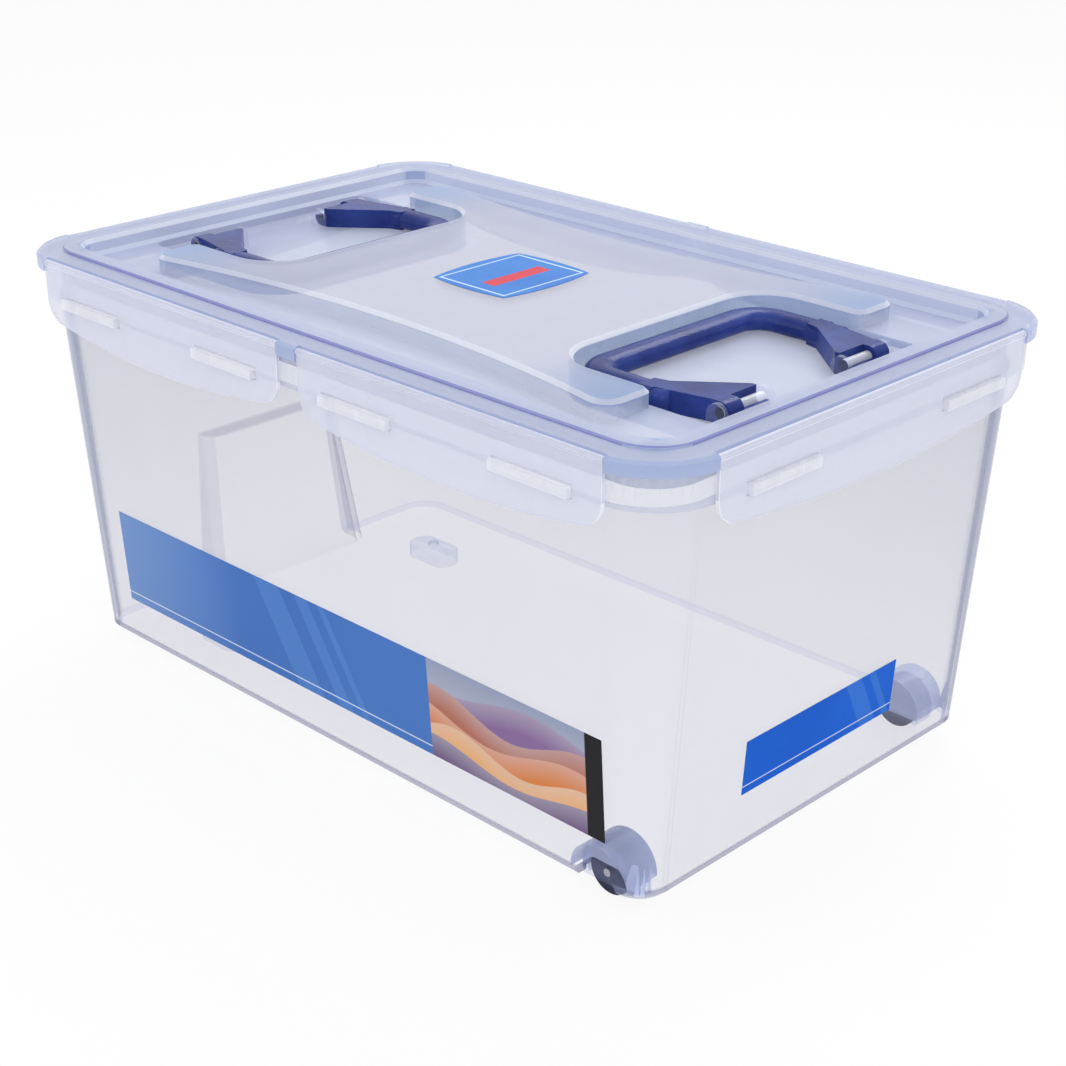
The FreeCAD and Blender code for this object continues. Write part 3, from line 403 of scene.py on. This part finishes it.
frontPrint = {
    "gloss": 0.12, "blue": (68, 118, 192), "deepBlue": (56, 106, 182), "driftScale": 6.0,
    "slant": (88, 138, 208), "lean": 0.55, "bandShare": 0.45,
    "bands": [(-0.006, 0.020), (0.026, 0.010), (0.044, 0.005)],  # start and width
    "left": -0.172, "pale": (150, 178, 218), "fadeLength": 0.10, "fade": 0.45,
    "rule": (226, 234, 246), "ruleAt": (0.0400, 0.0407), "ruleShare": 0.8,
    "bottom": 0.0355, "top": 0.089, "skyLow": (206, 206, 214), "skyHigh": (146, 156, 182),
    "hills": [  # height, swing, radians per metre, start of the wave, colour
        (0.0790, 0.0050, 52.0, 0.4, (132, 104, 150)), (0.0700, 0.0060, 66.0, 2.6, (176, 108, 88)),
        (0.0610, 0.0055, 58.0, 4.4, (214, 128, 66)), (0.0520, 0.0050, 74.0, 1.1, (232, 172, 112)),
        (0.0440, 0.0040, 60.0, 3.3, (110, 88, 128)),
    ],
    "mist": 0.35, "mistDepth": 0.012, "blueEnd": 0.074, "pictureEnd": 0.1755, "black": (20, 20, 24),
}


def layeredHills(tree, x, z, look):  # each hill lies below height + swing * sin(radians per metre * x + start)
    rise = remap(tree, z, look["bottom"], look["top"], 0.0, 1.0)
    picture = mixColour(tree, rise, rgba(look["skyLow"]), rgba(look["skyHigh"]))
    for height, swing, perMetre, start, tone in look["hills"]:
        wave = maths(tree, "SINE", maths(tree, "ADD", times(tree, x, perMetre), start))
        crest = maths(tree, "ADD", times(tree, wave, swing), height)
        depth = maths(tree, "SUBTRACT", crest, z)
        mist = remap(tree, depth, 0.0, look["mistDepth"], look["mist"], 0.0)
        shade = mixColour(tree, mist, rgba(tone), rgba(look["skyLow"]))
        picture = mixColour(tree, past(tree, depth, 0.0, film["edge"]), picture, shade)
    return picture


def frontLabelFinish(look):  # blue field with slanting bands and a pale rule, layered hills, a dark strip
    material, tree, out, skin, place = freshMaterial("frontLabelPrint")
    x, y, z = axes(tree, place)
    blue = slantBands(tree, x, z, driftingBlue(tree, place, look), look)
    fade = remap(tree, x, look["left"], look["left"] + look["fadeLength"], look["fade"], 0.0)
    blue = paleRule(tree, z, mixColour(tree, fade, blue, rgba(look["pale"])), look)
    picture = layeredHills(tree, x, z, look)
    colour = mixColour(tree, past(tree, x, look["blueEnd"], film["edge"]), blue, picture)
    colour = mixColour(tree, past(tree, x, look["pictureEnd"], film["edge"]), colour, rgba(look["black"]))
    printedFilm(tree, out, skin, place, colour, look["gloss"])
    return material


endPrint = {
    "gloss": 0.05, "blue": (4, 95, 206), "deepBlue": (2, 87, 198), "driftScale": 12.0,
    "slant": (64, 126, 214), "lean": 0.55, "bandShare": 0.5, "bands": [(0.052, 0.012), (0.070, 0.005)],
    "rule": (222, 230, 244), "ruleAt": (0.0455, 0.0461), "ruleShare": 0.8,
}


def endLabelFinish(look):  # blue field with two slanting bands and one pale rule
    material, tree, out, skin, place = freshMaterial("endLabelPrint")
    x, y, z = axes(tree, place)
    colour = slantBands(tree, y, z, driftingBlue(tree, place, look), look)
    colour = paleRule(tree, z, colour, look)
    printedFilm(tree, out, skin, place, colour, look["gloss"])
    return material


stickerPrint = {
    "gloss": 0.12, "blue": (52, 124, 206), "deepBlue": (38, 112, 198), "driftScale": 25.0,
    "border": (196, 220, 244), "outerX": (-0.0232, 0.0232), "outerY": (-0.0285, 0.0285),
    "innerX": (-0.0222, 0.0222), "innerY": (-0.0272, 0.0272),
    "red": (206, 52, 70), "barX": (-0.001, 0.008), "barY": (-0.020, 0.020),
}


def stickerFinish(look):  # sky blue with a pale border and one red bar
    material, tree, out, skin, place = freshMaterial("stickerPrint")
    x, y, z = axes(tree, place)
    outer = patch(tree, x, y, look["outerX"], look["outerY"], film["edge"])
    inner = patch(tree, x, y, look["innerX"], look["innerY"], film["edge"])
    border = maths(tree, "SUBTRACT", outer, inner)
    colour = mixColour(tree, border, driftingBlue(tree, place, look), rgba(look["border"]))
    bar = patch(tree, x, y, look["barX"], look["barY"], film["barEdge"])
    colour = mixColour(tree, bar, colour, rgba(look["red"]))
    printedFilm(tree, out, skin, place, colour, look["gloss"])
    return material


frontLabelPrint = frontLabelFinish(frontPrint)
endLabelPrint = endLabelFinish(endPrint)
lidStickerPrint = stickerFinish(stickerPrint)
print("finishes made:", len(bpy.data.materials))

softEdges = {  # how far each kind of piece is rounded, in metres, and how edges are told from curves, in degrees
    "tub": 0.0006, "lid": 0.0005, "latch": 0.0007, "wheel": 0.0005, "holder": 0.0003, "foot": 0.0004,
    "seal": 0.0, "paddle": 0.0020, "segments": 3, "paddleSegments": 4, "angle": 28.0, "flat": 0.6, "merge": 1e-6,
}


def finishNode(name, material):
    mesh = nodes[name].data
    mesh.materials.clear()
    mesh.materials.append(material)


def paint(mesh, material, wanted):  # faces whose middle, in millimetres, and normal pass a test take this finish
    count = len(mesh.polygons)
    middle, normal = np.zeros(count * 3), np.zeros(count * 3)
    mesh.polygons.foreach_get("center", middle)
    mesh.polygons.foreach_get("normal", normal)
    index = np.zeros(count, np.int32)
    mesh.polygons.foreach_get("material_index", index)
    mesh.materials.append(material)
    index[wanted(middle.reshape(-1, 3) * 1000.0, normal.reshape(-1, 3))] = len(mesh.materials) - 1
    mesh.polygons.foreach_set("material_index", index)


def markSharp(work):  # edges that turn by more than the set angle stay sharp
    for edge in work.edges:
        edge.smooth = edge.calc_face_angle(0.0) < math.radians(softEdges["angle"])


def softCopy(name, body, material, width, segments=softEdges["segments"]):  # the node with rounded edges
    mesh = nodes[name].data.copy()
    mesh.name = name + "_soft"
    work = bmesh.new()
    work.from_mesh(mesh)
    bmesh.ops.remove_doubles(work, verts=work.verts, dist=softEdges["merge"])
    flat = math.radians(softEdges["flat"])
    bmesh.ops.dissolve_limit(work, angle_limit=flat, verts=work.verts, edges=work.edges)
    for face in work.faces:
        face.smooth = True
    markSharp(work)
    work.to_mesh(mesh)
    work.free()
    mesh.materials.clear()
    mesh.materials.append(material)
    piece = bpy.data.objects.new(name + "_soft", mesh)
    scene.collection.objects.link(piece)
    if width > 0:
        bevel = piece.modifiers.new("edges", "BEVEL")
        bevel.width = width
        bevel.segments = segments
        bevel.limit_method = "ANGLE"
        bevel.angle_limit = math.radians(softEdges["angle"])
        bevel.harden_normals = True
    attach(piece, body)
    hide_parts(name)
    return piece


def within(val, limits):
    return (val > limits[0]) & (val < limits[1])


def beyond(middle, limits):  # outside a rectangle, or in one of its corners
    x, y, z = np.abs(middle.T)
    alongX, alongY, corner = limits
    return (x > alongX) | (y > alongY) | ((x > alongX - corner) & (y > alongY - corner))


# Where the finishes of the tub lie, in millimetres. The other values are limits for a normal's share along an axis.
tubShow = {
    "nubX": 226.8, "nubY": 143.5, "collarFrom": 204.5, "wallTop": 204.0, "upright": 0.3, "slanting": (0.3, 0.95),
    "housingX": (150.0, 203.0), "housingY": (84.0, 122.0), "housingZ": (8.6, 52.0),
    "roofFrom": 14.0, "notLevel": 0.93,
    "cornerX": 186.0, "cornerY": 105.0, "leaning": 0.02, "mainly": 0.7, "backward": -1.0,
    "alcoveX": -180.0, "alcoveY": 60.0, "alcoveZ": (12.0, 104.0), "alcoveSide": 0.8,
    "archX": (155.0, 203.0), "archY": 117.0, "archTop": 24.0, "archSide": 0.5,
    "baseTop": 11.6, "floorTop": 13.0, "level": 0.97,
}


def onNub(middle, normal):
    x, y, z = np.abs(middle.T)
    return (x > tubShow["nubX"]) | (y > tubShow["nubY"])


def onHousing(middle, normal):  # the walls and the roof of each wheel well
    x, y, z = middle.T
    near = within(x, tubShow["housingX"]) & within(np.abs(y), tubShow["housingY"]) & within(z, tubShow["housingZ"])
    return near & ((np.abs(normal[:, 2]) < tubShow["notLevel"]) | (z > tubShow["roofFrom"]))


def onCorner(middle, normal):  # the four leaning corners, where a wall is seen along its thickness
    x, y, z = np.abs(middle.T)
    alongX, alongY, lift = np.abs(normal.T)
    leaning = (alongX > tubShow["leaning"]) & (alongY > tubShow["leaning"]) & (lift < tubShow["upright"])
    return leaning & (x > tubShow["cornerX"]) & (y > tubShow["cornerY"]) & (z < tubShow["wallTop"])


def inward(middle, normal):  # the normal leans back to the middle of the tub
    backX, backY = (normal * middle)[:, :2].T < tubShow["backward"]
    mainX, mainY = np.abs(normal)[:, :2].T > tubShow["mainly"]
    return (mainX & backX) | (mainY & backY) | (backX & backY)


def onInnerWall(middle, normal):
    upright = np.abs(normal[:, 2]) < tubShow["upright"]
    return inward(middle, normal) & (middle[:, 2] < tubShow["wallTop"]) & upright


def onInnerCorner(middle, normal):
    return onCorner(middle, normal) & inward(middle, normal)


def onAlcove(middle, normal):
    x, y, z = middle.T
    near = (x < tubShow["alcoveX"]) & (np.abs(y) < tubShow["alcoveY"]) & within(z, tubShow["alcoveZ"])
    return near & (np.abs(normal[:, 0]) < tubShow["alcoveSide"])


def onBaseEdge(middle, normal):  # the slanting edge round the foot of the tub
    return (middle[:, 2] < tubShow["baseTop"]) & within(np.abs(normal[:, 2]), tubShow["slanting"])


def onArch(middle, normal):  # the cut edge of the wall over each wheel
    x, y, z = middle.T
    near = within(x, tubShow["archX"]) & (np.abs(y) > tubShow["archY"]) & (z < tubShow["archTop"])
    return near & (np.abs(normal[:, 1]) < tubShow["archSide"])


def onTubFloor(middle, normal):
    return (middle[:, 2] < tubShow["floorTop"]) & (np.abs(normal[:, 2]) > tubShow["level"])


def onCollar(middle, normal):
    return middle[:, 2] > tubShow["collarFrom"]


tubPiece = softCopy("tub", "tub", tubClear, softEdges["tub"])
for finish, wanted in (
        (tubInnerClear, onInnerWall), (cornerClear, onCorner), (cornerInnerClear, onInnerCorner),
        (alcoveClear, onAlcove), (housingClear, onHousing), (tubFloorClear, onTubFloor),
        (edgeViolet, onBaseEdge), (edgeViolet, onArch), (collarClear, onCollar), (nubFrosted, onNub)):
    paint(tubPiece.data, finish, wanted)

# Where the finishes of the lid lie. A rectangle is half length, half width and the reach of its corners.
lidShow = {
    "wellX": (92.0, 166.0), "wellY": 76.5, "wellAbove": 213.0, "wellUpright": 0.6,
    "brim": (226.0, 143.0, 30.0), "brimZ": (226.5, 228.9), "skirtAbove": 221.5, "upright": 0.3,
    "ridge": (213.0, 130.0, 12.0), "ridgeAbove": 228.9, "slanting": (0.3, 0.95), "notLevel": 0.95,
    "ringInner": (202.0, 119.0, 14.0), "ringOuter": (213.0, 130.0, 8.0), "ringZ": (221.4, 230.3), "ringUpright": 0.9,
    "crease": (207.0, 124.0, 12.0), "creaseZ": (228.6, 230.2),
}
pivotShow = {  # the pins of the handles and the lugs that hold them
    "reach": 185.0, "lugHalf": 5.3, "pinHalf": 3.0, "lugAbove": 214.8, "pinAbove": 216.5,
    "innerLug": (26.4, 29.6), "outerLug": (58.4, 61.6), "pinY": (29.6, 58.4),
}


def onWellWall(middle, normal):
    x, y, z = np.abs(middle.T)
    near = within(x, lidShow["wellX"]) & (y < lidShow["wellY"]) & (z > lidShow["wellAbove"])
    return near & (np.abs(normal[:, 2]) < lidShow["wellUpright"])


def onBrim(middle, normal):
    slanting = within(np.abs(normal[:, 2]), lidShow["slanting"])
    return slanting & within(middle[:, 2], lidShow["brimZ"]) & beyond(middle, lidShow["brim"])


def onRidge(middle, normal):  # the outer edge of the raised ring
    high = middle[:, 2] > lidShow["ridgeAbove"]
    return high & (np.abs(normal[:, 2]) < lidShow["notLevel"]) & beyond(middle, lidShow["ridge"])


def onSkirt(middle, normal):  # the outer face of the lid
    upright = np.abs(normal[:, 2]) < lidShow["upright"]
    return upright & (middle[:, 2] > lidShow["skirtAbove"]) & beyond(middle, lidShow["brim"])


def onRingWall(middle, normal):  # the inner face of the raised ring, painted lighter as a stand-in for front light
    between = beyond(middle, lidShow["ringInner"]) & ~beyond(middle, lidShow["ringOuter"])
    return between & (np.abs(normal[:, 2]) < lidShow["ringUpright"]) & within(middle[:, 2], lidShow["ringZ"])


def onCrease(middle, normal):  # the slanting edge all round the raised middle, which takes a painted highlight
    slanting = within(np.abs(normal[:, 2]), lidShow["slanting"])
    return slanting & within(middle[:, 2], lidShow["creaseZ"]) & ~beyond(middle, lidShow["crease"])


def onLug(middle, normal):
    x, y, z = np.abs(middle.T)
    cheek = within(y, pivotShow["innerLug"]) | within(y, pivotShow["outerLug"])
    return cheek & (np.abs(x - pivotShow["reach"]) < pivotShow["lugHalf"]) & (z > pivotShow["lugAbove"])


def onPin(middle, normal):
    x, y, z = np.abs(middle.T)
    near = within(y, pivotShow["pinY"]) & (np.abs(x - pivotShow["reach"]) < pivotShow["pinHalf"])
    return near & (z > pivotShow["pinAbove"])


lidPiece = softCopy("lid", "lid", lidClear, softEdges["lid"])
for finish, wanted in (
        (wellFrosted, onWellWall), (ridgeViolet, onRidge), (ringWallPaintedLight, onRingWall), (brimClear, onBrim),
        (brimClear, onSkirt), (creaseHighlight, onCrease), (lugClear, onLug), (pinClear, onPin)):
    paint(lidPiece.data, finish, wanted)

latchNames = ["latch_front_left", "latch_front_right", "latch_rear_left", "latch_rear_right",
              "latch_right_end", "latch_left_end"]
latchShow = {"below": 224.0, "facing": 0.5}


def onLatchEdge(middle, normal):  # the cut edge round a flap: its two ends and its lower side, which take a painted highlight
    longX = np.ptp(middle[:, 0]) > np.ptp(middle[:, 1])
    along = normal[:, 0] if longX else normal[:, 1]
    cutEnd, cutBelow = np.abs(along) > latchShow["facing"], normal[:, 2] < -latchShow["facing"]
    return (cutEnd | cutBelow) & (middle[:, 2] < latchShow["below"])


for latch in latchNames:
    flap = softCopy(latch, latch, latchFrosted, softEdges["latch"])
    paint(flap.data, flapEdgeHighlight, onLatchEdge)
    flap.modifiers["edges"].material = 1  # the rounding takes the painted highlight too

# The bar is an oval section carried along the grip and both arms: two straight arms, two quarter turns, one straight
# grip. The flat paddles with their hooks are the node's own, cut where the bar runs into them.
handleBar = {
    "halfWidth": 0.0075, "halfHeight": 0.00525, "squareness": 2.3, "arm": 0.0605, "grip": 0.1085, "turn": 0.015,
    "end": 0.160, "height": 0.22015, "cut": 0.1445, "around": 40, "perTurn": 14, "armSteps": 12, "gripSteps": 24,
}


def barRoute(look):  # points along the bar in the plane of the handle, and the sideways direction at each
    arm, grip, turn = look["arm"], look["grip"], look["turn"]
    sweep = np.linspace(0.0, math.pi / 2, look["perTurn"])
    run = np.linspace(look["end"], grip + turn, look["armSteps"])[:-1]
    across = np.linspace(arm - turn, turn - arm, look["gripSteps"])[1:-1]
    x = np.concatenate([run, grip + turn - turn * np.sin(sweep)])
    y = np.concatenate([np.full(len(run), arm), arm - turn + turn * np.cos(sweep)])
    sideX = np.concatenate([np.zeros(len(run)), -np.sin(sweep)])
    sideY = np.concatenate([np.ones(len(run)), np.cos(sweep)])
    x = np.concatenate([x, np.full(len(across), grip), x[::-1]])
    y = np.concatenate([y, across, -y[::-1]])
    sideX = np.concatenate([sideX, -np.ones(len(across)), sideX[::-1]])
    sideY = np.concatenate([sideY, np.zeros(len(across)), -sideY[::-1]])
    return x, y, sideX, sideY


def barMesh(name, hand, look):  # each ring is an oval round a point of the route
    x, y, sideX, sideY = barRoute(look)  # plus sideways * halfWidth * cos^p and up * halfHeight * sin^p
    rings, around = len(x), look["around"]
    angle = np.linspace(0.0, 2 * math.pi, around, endpoint=False)
    power = 2.0 / look["squareness"]
    out = look["halfWidth"] * np.sign(np.cos(angle)) * np.abs(np.cos(angle)) ** power
    up = look["halfHeight"] * np.sign(np.sin(angle)) * np.abs(np.sin(angle)) ** power
    grid = np.zeros((rings, around, 3))
    grid[:, :, 0] = hand * (x[:, None] + sideX[:, None] * out[None, :])
    grid[:, :, 1] = y[:, None] + sideY[:, None] * out[None, :]
    grid[:, :, 2] = look["height"] + up[None, :]
    i, j = np.meshgrid(np.arange(rings - 1), np.arange(around), indexing="ij")
    here, following, k = i * around, (i + 1) * around, (j + 1) % around
    faces = np.stack([here + j, here + k, following + k, following + j], -1).reshape(-1, 4)
    ends = [list(range(around)), list(range((rings - 1) * around, rings * around))]
    bar = bpy.data.meshes.new(name + "_bar")
    bar.from_pydata(grid.reshape(-1, 3).tolist(), [], faces.tolist() + ends)
    work = bmesh.new()
    work.from_mesh(bar)
    bmesh.ops.recalc_face_normals(work, faces=work.faces)
    for face in work.faces:
        face.smooth = True
    work.to_mesh(bar)
    work.free()
    bar.materials.append(handleNavy)
    return bar


def cutPaddles(mesh, hand, look):  # drops the node's own bar and closes the cut
    work = bmesh.new()
    work.from_mesh(mesh)
    every = work.verts[:] + work.edges[:] + work.faces[:]
    spot, facing = (hand * look["cut"], 0, 0), (-hand, 0, 0)
    cut = bmesh.ops.bisect_plane(work, geom=every, plane_co=spot, plane_no=facing, clear_outer=True)
    rim = [e for e in cut["geom_cut"] if isinstance(e, bmesh.types.BMEdge)]
    bmesh.ops.holes_fill(work, edges=rim)
    markSharp(work)
    work.to_mesh(mesh)
    work.free()


def makeHandle(name, hand):
    piece = bpy.data.objects.new(name + "_bar", barMesh(name, hand, handleBar))
    scene.collection.objects.link(piece)
    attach(piece, name)
    paddles = softCopy(name, name, handleNavy, softEdges["paddle"], softEdges["paddleSegments"])
    cutPaddles(paddles.data, hand, handleBar)
    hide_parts(name)


makeHandle("handle_right", 1.0)
makeHandle("handle_left", -1.0)
for side in ("front", "rear"):
    softCopy("wheel_" + side, "wheel_" + side, wheelDark, softEdges["wheel"])
    finishNode("axle_" + side, axleSteel)
    softCopy("wheel_holder_" + side, "tub", holderClear, softEdges["holder"])
    softCopy("foot_" + side, "tub", holderClear, softEdges["foot"])
softCopy("seal", "lid", sealSilicone, softEdges["seal"])
finishNode("front_label", frontLabelPrint)
finishNode("end_label", endLabelPrint)
finishNode("lid_sticker", lidStickerPrint)

stageLook = {"floorSize": 9.0, "floor": (246, 246, 248), "floorRoughness": 0.9, "veil": 0.90, "sky": 0.70}
white = (1.0, 1.0, 1.0, 1.0)


def seenRays(tree):  # one where the ray comes from the camera, a gloss or a clear wall
    ray = addNode(tree, "ShaderNodeLightPath")
    seen = maths(tree, "MAXIMUM", ray.outputs["Is Camera Ray"], ray.outputs["Is Glossy Ray"])
    return maths(tree, "MAXIMUM", seen, ray.outputs["Is Transmission Ray"])


def makeFloor(look):  # one flat square, pale paper that keeps a share of the shadow
    half = look["floorSize"] / 2
    corners = [(-half, -half, 0.0), (half, -half, 0.0), (half, half, 0.0), (-half, half, 0.0)]
    mesh = bpy.data.meshes.new("floor")
    mesh.from_pydata(corners, [], [(0, 1, 2, 3)])
    floor = bpy.data.objects.new("floor", mesh)
    scene.collection.objects.link(floor)
    material, tree, out, skin, place = freshMaterial("floorPaper")
    skin.inputs["Base Color"].default_value = rgba(look["floor"])
    skin.inputs["Roughness"].default_value = look["floorRoughness"]
    veil = times(tree, seenRays(tree), look["veil"])
    glow = addNode(tree, "ShaderNodeEmission", None, Color=white, Strength=1.0)
    mix = addNode(tree, "ShaderNodeMixShader", None, Fac=veil, i1=skin.outputs[0], i2=glow.outputs[0])
    tree.links.new(mix.outputs[0], out.inputs["Surface"])
    mesh.materials.append(material)


def makeWorld(look):  # white where it is seen, softer where it only lights
    world = bpy.data.worlds.new("studio")
    scene.world = world
    world.use_nodes = True
    tree = world.node_tree
    tree.nodes.clear()
    strength = remap(tree, seenRays(tree), 0.0, 1.0, look["sky"], 1.0)
    glow = addNode(tree, "ShaderNodeBackground", None, Color=white, Strength=strength)
    out = addNode(tree, "ShaderNodeOutputWorld")
    tree.links.new(glow.outputs[0], out.inputs["Surface"])


lamps = {  # place and aim in metres, width of the square, power in watts
    "keyLamp": {"spot": (-0.25, 1.0, 1.35), "aim": (0.0, 0.0, 0.15), "size": 0.8, "power": 11.0},
    "fillLamp": {"spot": (1.25, -0.75, 1.2), "aim": (0.0, 0.0, 0.1), "size": 1.2, "power": 8.0},
    "leftLamp": {"spot": (-0.7, -1.2, 1.1), "aim": (0.0, 0.0, 0.1), "size": 1.2, "power": 5.0},
}


def softLamp(name, look):
    lamp = bpy.data.lights.new(name, "AREA")
    lamp.shape = "SQUARE"
    lamp.size = look["size"]
    lamp.energy = look["power"]
    holder = bpy.data.objects.new(name, lamp)
    holder.location = look["spot"]
    ahead = Vector(look["aim"]) - Vector(look["spot"])
    holder.rotation_euler = ahead.to_track_quat("-Z", "Y").to_euler()
    scene.collection.objects.link(holder)


makeFloor(stageLook)
makeWorld(stageLook)
for name, look in lamps.items():
    softLamp(name, look)

cameraLook = {
    "spot": (0.7034, -0.6984, 0.5250), "azimuth": 44.57, "elevation": 23.77, "roll": 0.08,
    "lens": 68.80, "sensor": 36.0,
}


def makeCamera(look):  # looks back along its azimuth and elevation, square frame
    camera = bpy.data.cameras.new("camera")
    camera.sensor_width = look["sensor"]
    camera.sensor_fit = "HORIZONTAL"
    camera.lens = look["lens"]
    holder = bpy.data.objects.new("camera", camera)
    az, el = math.radians(look["azimuth"]), math.radians(look["elevation"])
    ahead = -Vector((math.sin(az) * math.cos(el), -math.cos(az) * math.cos(el), math.sin(el)))
    roll = Matrix.Rotation(math.radians(look["roll"]), 3, "Z")
    holder.rotation_euler = (ahead.to_track_quat("-Z", "Y").to_matrix() @ roll).to_euler()
    holder.location = look["spot"]
    scene.collection.objects.link(holder)
    scene.camera = holder


makeCamera(cameraLook)
scene.view_settings.view_transform = "Standard"
scene.cycles.transparent_max_bounces = 32  # a look through the box crosses many clear walls
print("stage set")
